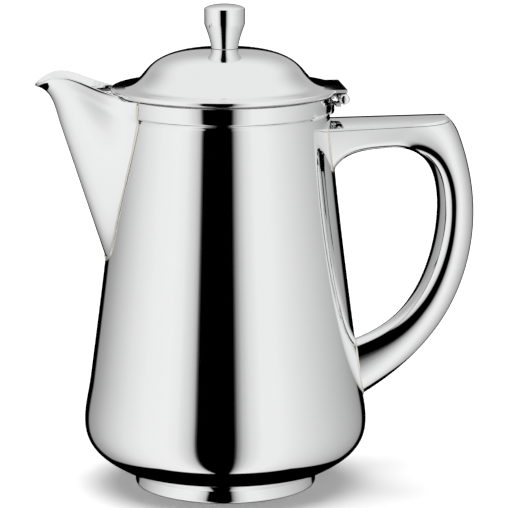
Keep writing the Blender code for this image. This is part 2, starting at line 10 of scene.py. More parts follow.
import bmesh
import bpy
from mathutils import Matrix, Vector


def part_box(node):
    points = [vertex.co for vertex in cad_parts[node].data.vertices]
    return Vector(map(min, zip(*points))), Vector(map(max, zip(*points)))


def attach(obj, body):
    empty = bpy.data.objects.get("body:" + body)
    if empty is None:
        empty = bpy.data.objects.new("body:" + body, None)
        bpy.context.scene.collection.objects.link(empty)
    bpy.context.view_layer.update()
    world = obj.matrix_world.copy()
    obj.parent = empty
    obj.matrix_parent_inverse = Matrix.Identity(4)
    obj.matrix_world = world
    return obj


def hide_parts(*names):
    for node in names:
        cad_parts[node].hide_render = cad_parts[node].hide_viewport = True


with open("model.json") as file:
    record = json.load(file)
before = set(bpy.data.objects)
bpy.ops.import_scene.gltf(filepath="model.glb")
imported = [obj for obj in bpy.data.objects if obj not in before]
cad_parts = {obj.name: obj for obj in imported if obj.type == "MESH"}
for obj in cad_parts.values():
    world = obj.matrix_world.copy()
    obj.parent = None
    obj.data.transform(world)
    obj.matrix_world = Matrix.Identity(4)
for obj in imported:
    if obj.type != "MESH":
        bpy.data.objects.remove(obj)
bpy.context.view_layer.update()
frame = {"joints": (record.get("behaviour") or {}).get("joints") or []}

MM = 0.001
FOOT_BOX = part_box("foot_ring")
POT_X = (FOOT_BOX[0].x + FOOT_BOX[1].x) / 2 / MM
HINGE_AT = Vector(frame["joints"][0]["pos_m"]) / MM

# Fineness of the meshes
LATHE_STEPS = 256
SMALL_STEPS = 128
CROWN_STEPS = 100
LEAF_STEPS = 48
SHARP_ANGLE = math.radians(32)

# Thicknesses and clearances
SHEET = 0.9
GAP = 0.3
JOINT_GAP = 0.02

# Body, radii and heights
BODY_R = 56.1
BODY_WIDEST_Z = 26.0
CONE_START = (53.7, 42.8)
SHOULDER = (41.2, 147.8)
GROOVE_Z = 148.9
NECK_R = 41.8
NECK_LOW_Z = 150.6
NECK_TOP_Z = 156.4
BOTTOM_R = 36.6
BOTTOM_Z = 5.0
BOTTOM_HOLE_R = 30.0
FOOT_R = 36.0

# Lid
FLANGE_R = 44.6
FLANGE_TOP_Z = 159.3
FLANGE_LIP_Z = 157.0
DOME_TOP_Z = 174.3
DOME_FOOT_R = 39.5
TAB_HALF_WIDTH = 14.9
TAB_END_X = 46.6
TAB_THICKNESS = 1.15
LID_HOLE_R = 2.2

# Hinge, from the joint's own place
HINGE_X = HINGE_AT.x - POT_X
HINGE_Z = HINGE_AT.z
KNUCKLE_R = 2.15
KNUCKLE_HOLE_R = 1.3
PIN_R = 1.05
LID_KNUCKLE_HALF = 6.4

# Knob
KNOB_R = 7.95
KNOB_TOP_Z = 191.6
KNOB_NECK_R = 5.15
SCREW_R = 1.8

# Spout
SPOUT_REACH = 73.7
SPOUT_BOTTOM_Z = 92.0
SPOUT_SEAM_TOP_Z = 156.4
SPOUT_COLUMNS = 44
RIM_LIFT = 5.2
RIM_LIFT_POWER = 2.1
KEEL_STEPS = 44
LIP_STEPS = 30
STRAIGHT_SHARE = 8 / 14  # of the seam, for the straight part of the keel

# Handle
HANDLE_REACH = 98.9
HANDLE_CROWN_R = 48.0
HANDLE_CROWN_Z = 146.05
HANDLE_CROWN_SLOPE = math.radians(0.9)
HANDLE_CROWN_ARC = math.radians(25)
HANDLE_WALL = 1.0
HANDLE_BELLY = 4.2
HANDLE_CORNER = math.radians(30)
FINGER_CROWN = 1.6
PLATE_SEAM = 0.16
HANDLE_STEPS = 22
ARM_STATIONS = 33  # the upper joint lies among this many stations
GRIP_STATION = 56  # the lower joint lies past this one

# Solder beads
SOLDER_HALF_WIDTH = 0.95
SOLDER_HEIGHT = 0.55
SOLDER_SIDES = 10

# Camera, from the pot's axis
CAMERA_DISTANCE = 1160.8
CAMERA_HEIGHT = 322.4
CAMERA_SIDE_ANGLE = 5.0
CAMERA_PITCH = 11.21
CAMERA_TURN = 0.565
CAMERA_LENS = 211.9


# ---------------------------------------------------------------- curves

def blend(a, b, t):
    return a + (b - a) * t


def smooth(t):
    t = min(max(t, 0.0), 1.0)
    return t * t * (3 - 2 * t)


def bezier(p0, p1, p2, p3, steps):
    """Points along a cubic curve, both ends included."""
    points = []
    for i in range(steps + 1):
        t = i / steps
        weights = ((1 - t) ** 3, 3 * t * (1 - t) ** 2, 3 * t * t * (1 - t), t ** 3)
        points.append(tuple(sum(w * p[k] for w, p in zip(weights, (p0, p1, p2, p3)))
                            for k in range(len(p0))))
    return points


def chain(*curves):
    """Joins curves that share their end points."""
    points = list(curves[0])
    for curve in curves[1:]:
        points.extend(curve[1:])
    return points


def read_curve(points, value):
    """First coordinate of an outline where its second one has this value."""
    for low, high in zip(points, points[1:]):
        a, b = low[1], high[1]
        if min(a, b) <= value <= max(a, b) and a != b:
            return blend(low[0], high[0], (value - a) / (b - a))
    return points[0][0] if value < points[0][1] else points[-1][0]


def inset(outline, distance):
    """Moves an open outline sideways, to its left, by a sheet's thickness."""
    moved = []
    for i, point in enumerate(outline):
        before = Vector(outline[max(i - 1, 0)])
        after = Vector(outline[min(i + 1, len(outline) - 1)])
        along = (after - before).normalized()
        moved.append((point[0] - along.y * distance, point[1] + along.x * distance))
    return moved


def rounded(outline, radius, steps=4, least_turn=25.0):
    """Rounds the corners of a closed outline of (radius, height) that turn sharply."""
    done = []
    count = len(outline)
    for i, corner in enumerate(outline):
        here = Vector(corner)
        back = Vector(outline[i - 1]) - here
        ahead = Vector(outline[(i + 1) % count]) - here
        turn = math.degrees((-back).angle(ahead, 0.0))
        if turn < least_turn or corner[0] < 1e-6:
            done.append(tuple(corner))
            continue
        start = here + back.normalized() * min(radius, back.length * 0.45)
        end = here + ahead.normalized() * min(radius, ahead.length * 0.45)
        for k in range(steps + 1):
            t = k / steps
            done.append(tuple(start * (1 - t) ** 2 + here * 2 * t * (1 - t) + end * t * t))
    return done


# ---------------------------------------------------------------- meshes

def make_object(name, vertices, faces, mat):
    """One object from points in the pot's millimetres, placed in the frame's metres."""
    shift = Vector((POT_X, 0, 0))
    mesh = bpy.data.meshes.new(name)
    mesh.from_pydata([(Vector(v) + shift) * MM for v in vertices], [], faces)
    mesh.materials.append(mat)
    obj = bpy.data.objects.new(name, mesh)
    bpy.context.scene.collection.objects.link(obj)
    finish_mesh(obj)
    return obj


def finish_mesh(obj):
    """Outward normals and smooth shading, with real edges kept crisp."""
    work = bmesh.new()
    work.from_mesh(obj.data)
    bmesh.ops.recalc_face_normals(work, faces=work.faces)
    work.to_mesh(obj.data)
    work.free()
    obj.data.shade_smooth()
    obj.data.set_sharp_from_angle(angle=SHARP_ANGLE)


def turned_mesh(outline, steps):
    """A closed outline of (radius, height) turned round the pot's axis."""
    vertices = []
    rings = []
    for radius, height in outline:
        if radius < 1e-6:
            rings.append([len(vertices)] * steps)
            vertices.append((0.0, 0.0, height))
            continue
        rings.append(list(range(len(vertices), len(vertices) + steps)))
        for k in range(steps):
            angle = 2 * math.pi * k / steps
            vertices.append((radius * math.cos(angle), radius * math.sin(angle), height))
    faces = []
    for i, ring in enumerate(rings):
        other = rings[(i + 1) % len(rings)]
        for k in range(steps):
            n = (k + 1) % steps
            corners = []
            for v in (ring[k], ring[n], other[n], other[k]):
                if v not in corners:
                    corners.append(v)
            if len(corners) > 2:
                faces.append(corners)
    return vertices, faces


def turned(name, outline, mat, steps=LATHE_STEPS):
    return make_object(name, *turned_mesh(outline, steps), mat)


def lofted(name, rings, mat, closed=False):
    """Skin over rings with equal numbers of points, with flat ends unless it is a loop."""
    count = len(rings[0])
    vertices = [point for ring in rings for point in ring]
    faces = []
    last = len(rings) if closed else len(rings) - 1
    for i in range(last):
        a, b = i * count, ((i + 1) % len(rings)) * count
        for k in range(count):
            n = (k + 1) % count
            faces.append((a + k, a + n, b + n, b + k))
    if not closed:
        faces.append(tuple(range(count)))
        faces.append(tuple(range(len(vertices) - count, len(vertices))))
    return make_object(name, vertices, faces, mat)


def box(name, low, high, mat):
    ring = [(low[0], low[1]), (high[0], low[1]), (high[0], high[1]), (low[0], high[1])]
    return lofted(name, [[(x, y, z) for x, y in ring] for z in (low[2], high[2])], mat)


def rod_rings(radii_and_y, x, z, sides):
    """Rings of a round piece that lies along Y."""
    rings = []
    for radius, y in radii_and_y:
        turn = [2 * math.pi * k / sides for k in range(sides)]
        rings.append([(x + radius * math.cos(a), y, z + radius * math.sin(a)) for a in turn])
    return rings


def carve(obj, tool, operation):
    """Cuts, joins or trims obj with tool at once, and removes the tool."""
    mod = obj.modifiers.new("carve", "BOOLEAN")
    mod.operation = operation
    mod.solver = "EXACT"
    mod.object = tool
    evaluated = obj.evaluated_get(bpy.context.evaluated_depsgraph_get())
    mesh = bpy.data.meshes.new_from_object(evaluated)
    obj.modifiers.remove(mod)
    obj.data = mesh
    bpy.data.objects.remove(tool)
    finish_mesh(obj)


def place(obj, node, body):
    """obj stands for the CAD node and moves with its body."""
    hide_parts(node)
    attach(obj, body)


# ---------------------------------------------------------------- materials

class Shader:
    """A short way to write node trees: each call adds a node and returns its output."""

    def __init__(self, tree):
        self.tree = tree

    def add(self, kind, inputs=(), output=0, **settings):
        node = self.tree.nodes.new(kind)
        for key, value in settings.items():
            setattr(node, key, value)
        for key, value in dict(inputs).items():
            if isinstance(value, bpy.types.NodeSocket):
                self.tree.links.new(value, node.inputs[key])
            else:
                node.inputs[key].default_value = value
        return None if output is None else node.outputs[output]

    def math(self, operation, a, b=0.0):
        return self.add("ShaderNodeMath", {0: a, 1: b}, operation=operation)

    def ramp(self, value, low, high, to_low, to_high):
        return self.add("ShaderNodeMapRange", {"Value": value, "From Min": low, "From Max": high,
                                               "To Min": to_low, "To Max": to_high})

    def noise(self, vector, scale, detail):
        return self.add("ShaderNodeTexNoise",
                        {"Vector": vector, "Scale": scale, "Detail": detail})


def new_material(name):
    mat = bpy.data.materials.new(name)
    mat.use_nodes = True
    return mat, Shader(mat.node_tree), mat.node_tree.nodes["Principled BSDF"]


def metal(name, dark, light, rough, cloud_scale, grain_scale, grain_depth):
    """Polished or cast metal: cloudy colour and polish, over a fine grain."""
    mat, nodes, surface = new_material(name)
    at = nodes.add("ShaderNodeTexCoord", output="Object")
    cloud = nodes.noise(at, cloud_scale, 3.0)
    colour = nodes.add("ShaderNodeMix", {0: cloud, 6: (*dark, 1), 7: (*light, 1)}, 2,
                       data_type="RGBA")
    grain = nodes.noise(at, grain_scale, 4.0)
    polish = nodes.ramp(nodes.noise(at, cloud_scale * 3.7, 5.0), 0.3, 0.7, *rough)
    bump = nodes.add("ShaderNodeBump", {"Height": grain, "Distance": grain_depth,
                                        "Strength": 1.0})
    links = mat.node_tree.links
    links.new(colour, surface.inputs["Base Color"])
    links.new(polish, surface.inputs["Roughness"])
    links.new(bump, surface.inputs["Normal"])
    surface.inputs["Metallic"].default_value = 1.0
    return mat


def turned_metal(name, dark, light, rough, pitch, depth):
    """Satin metal with the fine rings that turning and drawing leave round the pot's axis."""
    mat, nodes, surface = new_material(name)
    at = nodes.add("ShaderNodeTexCoord", output="Object")
    shifted = nodes.add("ShaderNodeVectorMath", {0: at, 1: (-POT_X * MM, 0, 0)}, operation="ADD")
    flat = nodes.add("ShaderNodeVectorMath", {0: shifted, 1: (1, 1, 0)}, operation="MULTIPLY")
    radius = nodes.add("ShaderNodeVectorMath", {0: flat}, "Value", operation="LENGTH")
    height = nodes.add("ShaderNodeSeparateXYZ", {0: shifted}, 2)
    rings_at = nodes.add("ShaderNodeCombineXYZ", {"X": radius, "Y": height})
    rings = nodes.noise(rings_at, 1 / pitch, 2.0)
    wide = nodes.noise(rings_at, 0.12 / pitch, 3.0)
    colour = nodes.add("ShaderNodeMix", {0: wide, 6: (*dark, 1), 7: (*light, 1)}, 2,
                       data_type="RGBA")
    bump = nodes.add("ShaderNodeBump", {"Height": rings, "Distance": depth, "Strength": 1.0})
    links = mat.node_tree.links
    links.new(colour, surface.inputs["Base Color"])
    links.new(nodes.ramp(rings, 0.3, 0.7, *rough), surface.inputs["Roughness"])
    links.new(bump, surface.inputs["Normal"])
    surface.inputs["Metallic"].default_value = 1.0
    return mat


POLISHED = metal("polished_steel", (0.925, 0.93, 0.935), (0.955, 0.955, 0.955), (0.02, 0.045),
                 35.0, 900.0, 0.0000006)
SOLDER = metal("solder", (0.90, 0.85, 0.77), (0.97, 0.94, 0.88), (0.30, 0.45),
               300.0, 1400.0, 0.00004)
SATIN = turned_metal("satin_steel", (0.66, 0.66, 0.66), (0.78, 0.78, 0.78), (0.24, 0.38),
                     0.00016, 0.000012)


# ---------------------------------------------------------------- body

def body_cone():
    """The body's outside from the shoulder down to the base, as (radius, height)."""
    cone = bezier(SHOULDER, (44.2, 112.8), (49.0, 77.8), CONE_START, 30)
    shoulder = bezier(CONE_START, (54.6, 36.6), (BODY_R, 31.5), (BODY_R, BODY_WIDEST_Z), 10)
    base = bezier((BODY_R, BODY_WIDEST_Z), (BODY_R, 14.5), (48.0, 11.0), (BOTTOM_R, BOTTOM_Z), 24)
    return chain(cone, shoulder, base)


def body_outside():
    """Neck with its rolled top edge, the groove below it, and the cone."""
    lip = bezier((NECK_R - 0.45, NECK_TOP_Z), (NECK_R - 0.15, NECK_TOP_Z),
                 (NECK_R, NECK_TOP_Z - 0.15), (NECK_R, NECK_TOP_Z - 0.45), 4)
    into = bezier((NECK_R, NECK_LOW_Z), (NECK_R, 149.9), (41.3, 149.6), (40.9, GROOVE_Z + 0.25), 8)
    out = bezier((40.9, GROOVE_Z + 0.25), (40.65, GROOVE_Z - 0.2), (41.0, 148.45), SHOULDER, 6)
    return chain(lip, [lip[-1], into[0]], into, out, body_cone())


BODY_OUTSIDE = body_outside()


def body_radius(z):
    return read_curve(BODY_OUTSIDE, z)


def joint_radius(z):
    """The body's radius with its groove bridged, as a piece soldered over it does."""
    if SHOULDER[1] < z < NECK_LOW_Z:
        return blend(SHOULDER[0], NECK_R, (z - SHOULDER[1]) / (NECK_LOW_Z - SHOULDER[1]))
    return body_radius(z)


def make_pot_body():
    inner_wall = inset(body_cone(), -SHEET)[::-1]
    inner_wall[0] = (BOTTOM_R - 0.5, BOTTOM_Z + SHEET)
    low_edge = [(BOTTOM_HOLE_R, BOTTOM_Z - 0.4), (BOTTOM_HOLE_R, BOTTOM_Z + SHEET - 0.4)]
    mouth = [(NECK_R - SHEET, GROOVE_Z + 1.2), (NECK_R - SHEET, NECK_TOP_Z)]
    body = turned("pot_body_fine", BODY_OUTSIDE + low_edge + inner_wall + mouth, POLISHED)
    carve(body, spout_window(), "DIFFERENCE")
    place(body, "pot_body", "pot")


def spout_window():
    """The opening in the body's wall that lets the coffee into the spout."""
    edge = [(seam_half_width(z) - 5.0, z) for z in [99.0 + 45.5 * k / 24 for k in range(25)]]
    outline = rounded(edge + [(-y, z) for y, z in edge[::-1]], 2.5)
    near, far = -BODY_R - 4, -NECK_R + 12
    return lofted("window", [[(x, y, z) for y, z in outline] for x in (near, far)], POLISHED)


def body_tool():
    """The body's outside as a solid, with a hair of clearance for what is soldered to it."""
    outline = [(r + JOINT_GAP, z) for r, z in BODY_OUTSIDE]
    top = NECK_TOP_Z + 5
    outline = [(0, top), (NECK_R + JOINT_GAP, top)] + outline + [(0, BOTTOM_Z)]
    return turned("body_tool", outline, POLISHED)


def make_foot_ring():
    side = bezier((FOOT_R + 0.6, BOTTOM_Z + 0.12), (FOOT_R + 0.25, 3.8), (FOOT_R, 2.4),
                  (FOOT_R, 0.8), 12)
    under = [(FOOT_R - 0.3, 0.2), (FOOT_R - 0.8, 0.0), (FOOT_R - 2.4, 0.0), (FOOT_R - 2.8, 0.4),
             (FOOT_R - 2.6, 1.2), (FOOT_R - 1.0, 1.8), (FOOT_R - 0.9, 2.6), (FOOT_R - 0.7, 4.5)]
    foot = turned("foot_ring_fine", rounded(side + under, 0.35, 4, 12.0), POLISHED)
    place(foot, "foot_ring", "pot")


def make_base_plate():
    low = BOTTOM_Z + SHEET - 0.1
    edge_r = BOTTOM_R - 2.2
    upper = chain([(0, low + 1.2 + SHEET), (12, low + 1.1 + SHEET)],
                  bezier((12, low + 1.1 + SHEET), (20, low + 1.0 + SHEET),
                         (25, low + SHEET), (29, low + SHEET), 12), [(0, 0), (edge_r, low + SHEET)])
    lower = [(edge_r, low)] + [(r, z - SHEET) for r, z in upper[-2::-1]]
    plate = turned("base_plate_fine", upper + lower, SATIN, SMALL_STEPS)
    place(plate, "base_plate", "pot")


def make_mouth_ring():
    outer = NECK_R - SHEET - 0.05
    inner = outer - SHEET
    top, low = NECK_TOP_Z - 0.2, GROOVE_Z + 1.8
    outline = [(outer, top), (outer, low), (inner, low), (inner, top)]
    ring = turned("mouth_ring_fine", rounded(outline, 0.35), SATIN)
    place(ring, "mouth_ring", "pot")


# ---------------------------------------------------------------- spout

def seam_half_width(z):
    """Half the width of the spout where it meets the body."""
    lower = bezier((3.5, SPOUT_BOTTOM_Z), (8.5, 92.6), (11.0, 96.0), (12.0, 102.0), 24)
    upper = bezier((12.0, 102.0), (14.5, 117.0), (20.5, 133.0), (22.3, SPOUT_SEAM_TOP_Z), 24)
    return read_curve(chain(lower, upper), z)


def keel():
    """The spout's front line, as (x, z), from the body up to the lip."""
    bottom = (-body_radius(SPOUT_BOTTOM_Z) - JOINT_GAP, SPOUT_BOTTOM_Z)
    bend = (-64.4, 145.2)
    straight = [(blend(bottom[0], bend[0], t), blend(bottom[1], bend[1], t))
                for t in (i / KEEL_STEPS for i in range(KEEL_STEPS + 1))]
    lip = bezier(bend, (-66.3, 151.0), (-67.0, 158.8), (-SPOUT_REACH, 160.4), LIP_STEPS)
    return chain(straight, lip)


def on_body(x, y, z):
    """Pushes a point out to the body's surface, and keeps it under the lid's flange."""
    radius = math.hypot(x, y)
    clear = body_radius(min(z, NECK_TOP_Z)) + JOINT_GAP
    scale = max(clear / radius, 1.0)
    if radius < FLANGE_R + GAP:
        z = min(z, NECK_TOP_Z)
    return Vector((x * scale, y * scale, z))


def spout_row(s, front):
    """One row across the spout, from its +Y seam round the keel to its -Y seam."""
    seam_z = blend(SPOUT_BOTTOM_Z, SPOUT_SEAM_TOP_Z, s)
    width = seam_half_width(seam_z)
    start_x = -math.sqrt((joint_radius(seam_z) + JOINT_GAP) ** 2 - width ** 2)
    rim = smooth((s - 0.55) / 0.45)
    half = bezier((0.0, 1.0), (blend(0.30, 0.34, rim), blend(0.68, 0.40, rim)),
                  (1.0, blend(0.46, 0.72, rim)), (1.0, 0.0), SPOUT_COLUMNS)
    row = []
    for along, across in half:
        lift = RIM_LIFT * rim * rim * math.sin(math.pi * along ** RIM_LIFT_POWER)
        row.append((blend(start_x, front[0], along), width * across,
                    blend(seam_z, front[1], along) + lift))
    mirrored = [(x, -y, z) for x, y, z in row[-2::-1]]
    points = [on_body(*p) for p in row + mirrored]
    if s == 0:
        points = [Vector((p.x, p.y, SPOUT_BOTTOM_Z)) for p in points]
    return points


def spout_rows():
    """Rows of points on the spout's outside. The straight keel and the curved lip each take
    their own share of the seam."""
    rows = []
    for i, front in enumerate(keel()):
        if i <= KEEL_STEPS:
            s = STRAIGHT_SHARE * i / KEEL_STEPS
        else:
            s = STRAIGHT_SHARE + (1 - STRAIGHT_SHARE) * (i - KEEL_STEPS) / LIP_STEPS
        rows.append(spout_row(s, front))
    return rows


def grid_normals(grid):
    """Unit normals that point out of the spout."""
    normals = []
    for i, row in enumerate(grid):
        up, down = grid[min(i + 1, len(grid) - 1)], grid[max(i - 1, 0)]
        line = []
        for j in range(len(row)):
            across = row[min(j + 1, len(row) - 1)] - row[max(j - 1, 0)]
            line.append(across.cross(up[j] - down[j]).normalized())
        normals.append(line)
    return normals


def make_spout(rows):
    """The outer skin, a half-round rim, and the inner skin back down to the body."""
    normals = grid_normals(rows)
    inner = [[on_body(*(p - n * SHEET)) for p, n in zip(row, line)]
             for row, line in zip(rows, normals)]
    rim = []
    for angle in (30, 60, 90, 120, 150):
        turn = math.radians(angle)
        ring = []
        for j, (a, b) in enumerate(zip(rows[-1], inner[-1])):
            up = (rows[-1][j] - rows[-2][j]).normalized()
            ring.append((a + b) / 2 + (a - b) / 2 * math.cos(turn)
                        + up * (SHEET / 2 * math.sin(turn)))
        rim.append(ring)
    skin = rows + rim + inner[::-1]
    columns = len(rows[0])
    vertices = [point for row in skin for point in row]
    faces = []
    count = len(skin)
    for i in range(count):
        a, b = i * columns, ((i + 1) % count) * columns
        for j in range(columns - 1):
            faces.append((a + j, a + j + 1, b + j + 1, b + j))
    for j in (0, columns - 1):
        for i in range(len(rows) - 1):
            a, b = i, count - 1 - i
            faces.append((a * columns + j, (a + 1) * columns + j,
                          (b - 1) * columns + j, b * columns + j))
        top = [i * columns + j for i in range(len(rows) - 1, len(rows) + len(rim) + 1)]
        faces.append(tuple(top))
    spout = make_object("spout_fine", vertices, faces, POLISHED)
    place(spout, "spout", "pot")


# ---------------------------------------------------------------- solder

def bead(name, edge, node, closed=False):
    """A low line of solder over a joint, a little uneven as it ran."""
    rings = []
    count = len(edge)
    for i, point in enumerate(edge):
        before = edge[(i - 1) % count] if closed else edge[max(i - 1, 0)]
        after = edge[(i + 1) % count] if closed else edge[min(i + 1, count - 1)]
        along = (after - before).normalized()
        away = Vector((point.x, point.y, 0)).normalized()
        side = away.cross(along).normalized()
        run = 0.85 + 0.15 * math.sin(i * 0.61) * math.cos(i * 0.23 + 1.0)
        ring = []
        for k in range(SOLDER_SIDES):
            turn = 2 * math.pi * k / SOLDER_SIDES
            ring.append(tuple(point + side * (math.cos(turn) * SOLDER_HALF_WIDTH * run)
                              + away * (math.sin(turn) * SOLDER_HEIGHT * run)))
        rings.append(ring)
    obj = lofted(name, rings, SOLDER, closed)
    place(obj, node, "pot")


def make_spout_seam(rows):
    edge = [row[0] for row in rows[:0:-1]] + rows[0] + [row[-1] for row in rows[1:]]
    edge[0] = edge[0] - Vector((0, 0, 0.5))
    edge[-1] = edge[-1] - Vector((0, 0, 0.5))
    bead("spout_seam_fine", edge, "spout_seam")


# ---------------------------------------------------------------- handle

HANDLE_INSIDE = (
    ((38.0, 119.0), (42.5, 133.0), (47.5, 135.1), (66.0, 135.7)),
    ((66.0, 135.7), (72.5, 135.7), (77.5, 133.6), (80.9, 129.7)),
    ((80.9, 129.7), (84.3, 125.8), (86.4, 119.0), (86.4, 110.0)),
    ((86.4, 110.0), (86.4, 98.0), (83.0, 83.5), (76.0, 73.0)),
    ((76.0, 73.0), (69.0, 62.0), (59.0, 57.0), (46.0, 53.2)),
)
HANDLE_BACK = (
    ((37.0, 150.0), (46.0, 150.0), (60.0, 150.0), (76.0, 150.0)),
    ((76.0, 150.0), (84.0, 150.0), (89.5, 147.0), (92.3, 140.5)),
    ((92.3, 140.5), (94.5, 135.0), (HANDLE_REACH, 122.0), (HANDLE_REACH, 107.0)),
    ((HANDLE_REACH, 107.0), (HANDLE_REACH, 93.0), (95.2, 78.0), (87.6, 65.5)),
    ((87.6, 65.5), (79.0, 51.3), (64.5, 38.5), (46.0, 29.6)),
)
HANDLE_HALF_WIDTH = ((14.4, 13.8, 13.2, 12.6), (12.6, 12.3, 12.2, 12.2), (12.2, 12.2, 12.2, 12.2),
                     (12.2, 12.0, 10.4, 9.0), (9.0, 7.8, 7.2, 6.6))
HANDLE_ROUNDNESS = ((9.0, 6.0, 3.6, 3.2), (3.2, 3.1, 2.8, 2.6), (2.6, 2.4, 2.3, 2.2),
                    (2.2, 2.2, 2.2, 2.2), (2.2, 2.2, 2.2, 2.2))


def handle_stations():
    """Stations along the handle: inside point, back point, half width, squareness."""
    inside = chain(*[bezier(*curve, HANDLE_STEPS) for curve in HANDLE_INSIDE])
    back = chain(*[bezier(*curve, HANDLE_STEPS) for curve in HANDLE_BACK])
    widths = chain(*[bezier(*[(w,) for w in curve], HANDLE_STEPS)
                     for curve in HANDLE_HALF_WIDTH])
    powers = chain(*[bezier(*[(p,) for p in curve], HANDLE_STEPS)
                     for curve in HANDLE_ROUNDNESS])
    return [(Vector(i), Vector(b), w[0], p[0])
            for i, b, w, p in zip(inside, back, widths, powers)]


def handle_section(station, wall=0.0, open_face=0.0, points=64):
    """Widest a little way out from the finger side and round on the back, shrunk by a
    wall's thickness. An open face runs straight out past the finger side, so that a cutter of
    this shape opens it."""
    inside, back, half_width, power = station
    depth = (back - inside).length
    outward = (back - inside) / depth
    across_and_out = []
    for k in range(points + 1):
        angle = blend(-HANDLE_CORNER, math.pi + HANDLE_CORNER, k / points)
        side, rise = math.cos(angle), math.sin(angle)
        if rise < 0:
            across_and_out.append((side, HANDLE_BELLY * (1 + rise / math.sin(HANDLE_CORNER))))
        else:
            across = math.copysign(abs(side) ** (2 / power), side)
            out = blend(HANDLE_BELLY, depth - wall, rise ** (2 / power))
            across_and_out.append((across, out))
    if open_face:
        corner = math.cos(HANDLE_CORNER)
        across_and_out = [(corner, -open_face)] + across_and_out + [(-corner, -open_face)]
    ring = []
    for across, out in across_and_out:
        flat = inside + outward * out
        ring.append((flat.x, (half_width - wall) * across, flat.y))
    return ring


def finger_face(station, half, steps):
    """Points across the crowned finger side of the handle, from one edge to the other."""
    inside, back, _, _ = station
    outward = (back - inside).normalized()
    points = []
    for k in range(steps + 1):
        y = half * (1 - 2 * k / steps)
        flat = inside - outward * FINGER_CROWN * (1 - (y / half) ** 2)
        points.append(Vector((flat.x, y, flat.y)))
    return points


def crown(radius):
    """A block over the whole handle, whose top is the crowned top of the upper arm."""
    rings = []
    for x in (30.0, HANDLE_REACH + 12.0):
        centre = HANDLE_CROWN_Z - HANDLE_CROWN_R + (x - HINGE_X) * math.tan(HANDLE_CROWN_SLOPE)
        turn = [HANDLE_CROWN_ARC * ((2 * k + 1) / CROWN_STEPS - 1) for k in range(CROWN_STEPS)]
        ring = [(x, radius * math.sin(a), centre + radius * math.cos(a)) for a in turn]
        half = radius * math.sin(HANDLE_CROWN_ARC)
        rings.append(ring + [(x, half, BODY_WIDEST_Z), (x, -half, BODY_WIDEST_Z)])
    return lofted("crown_tool", rings, POLISHED)


def make_handle():
    stations = handle_stations()
    outside = [handle_section(s) for s in stations]
    hollow = [handle_section(s, HANDLE_WALL, 3.0) for s in stations]
    hollow.insert(0, [(x - 2.0, y, z) for x, y, z in hollow[0]])
    hollow.append([(x - 2.0, y, z) for x, y, z in hollow[-1]])

    shell = lofted("handle_shell_fine", outside, POLISHED)
    carve(shell, lofted("hollow_tool", hollow, POLISHED), "DIFFERENCE")
    carve(shell, crown(HANDLE_CROWN_R - SHEET - PLATE_SEAM), "INTERSECT")
    carve(shell, body_tool(), "DIFFERENCE")
    place(shell, "handle_shell", "pot")

    plate = lofted("handle_top_plate_fine", outside, POLISHED)
    carve(plate, crown(HANDLE_CROWN_R), "INTERSECT")
    carve(plate, crown(HANDLE_CROWN_R - SHEET), "DIFFERENCE")
    carve(plate, body_tool(), "DIFFERENCE")
    place(plate, "handle_top_plate", "pot")

    strip = []
    for station in stations:
        inside, back, half_width, _ = station
        outward = (back - inside).normalized() * SHEET
        half = (half_width - HANDLE_WALL) * math.cos(HANDLE_CORNER) - PLATE_SEAM
        face = finger_face(station, half, 24)
        under = [p + Vector((outward.x, 0, outward.y)) for p in face[::-1]]
        strip.append(face + under)
    inner_plate = lofted("handle_inner_plate_fine", strip, POLISHED)
    carve(inner_plate, body_tool(), "DIFFERENCE")
    place(inner_plate, "handle_inner_plate", "pot")


def seam_point(rail):
    """Where a line along the handle comes out of the body."""
    for before, after in zip(rail, rail[1:]):
        a = math.hypot(before.x, before.y) - body_radius(before.z) - JOINT_GAP
        b = math.hypot(after.x, after.y) - body_radius(after.z) - JOINT_GAP
        if a <= 0 < b:
            return before.lerp(after, a / (a - b))
    return None


def make_handle_seams():
    """Solder round the handle's two joints, up to the top plate at the upper one."""
    fine = []
    for station in handle_stations():
        ring = [Vector(p) for p in handle_section(station)]
        fine.append(ring + finger_face(station, ring[-1].y, 16)[1:-1])
    count = len(fine[0])
    upper = [seam_point([ring[k] for ring in fine[:ARM_STATIONS]]) for k in range(count)]
    lower = [seam_point([ring[k] for ring in fine[:GRIP_STATION:-1]]) for k in range(count)]
    top_edge = HANDLE_CROWN_Z - SHEET - 0.8
    around = [point for point in upper if point is not None]
    start = next(k for k in range(len(around)) if around[k - 1].z > top_edge >= around[k].z)
    around = [p for p in around[start:] + around[:start] if p.z <= top_edge]
    bead("handle_upper_seam_fine", around, "handle_upper_seam")
    bead("handle_lower_seam_fine", [point for point in lower if point is not None],
         "handle_lower_seam", closed=True)


# ---------------------------------------------------------------- hinge

def knuckle(name, low_y, high_y):
    outline = [(KNUCKLE_R, low_y), (KNUCKLE_R, high_y), (KNUCKLE_HOLE_R, high_y),
               (KNUCKLE_HOLE_R, low_y)]
    return lofted(name, rod_rings(rounded(outline, 0.3), HINGE_X, HINGE_Z, 64), POLISHED, True)


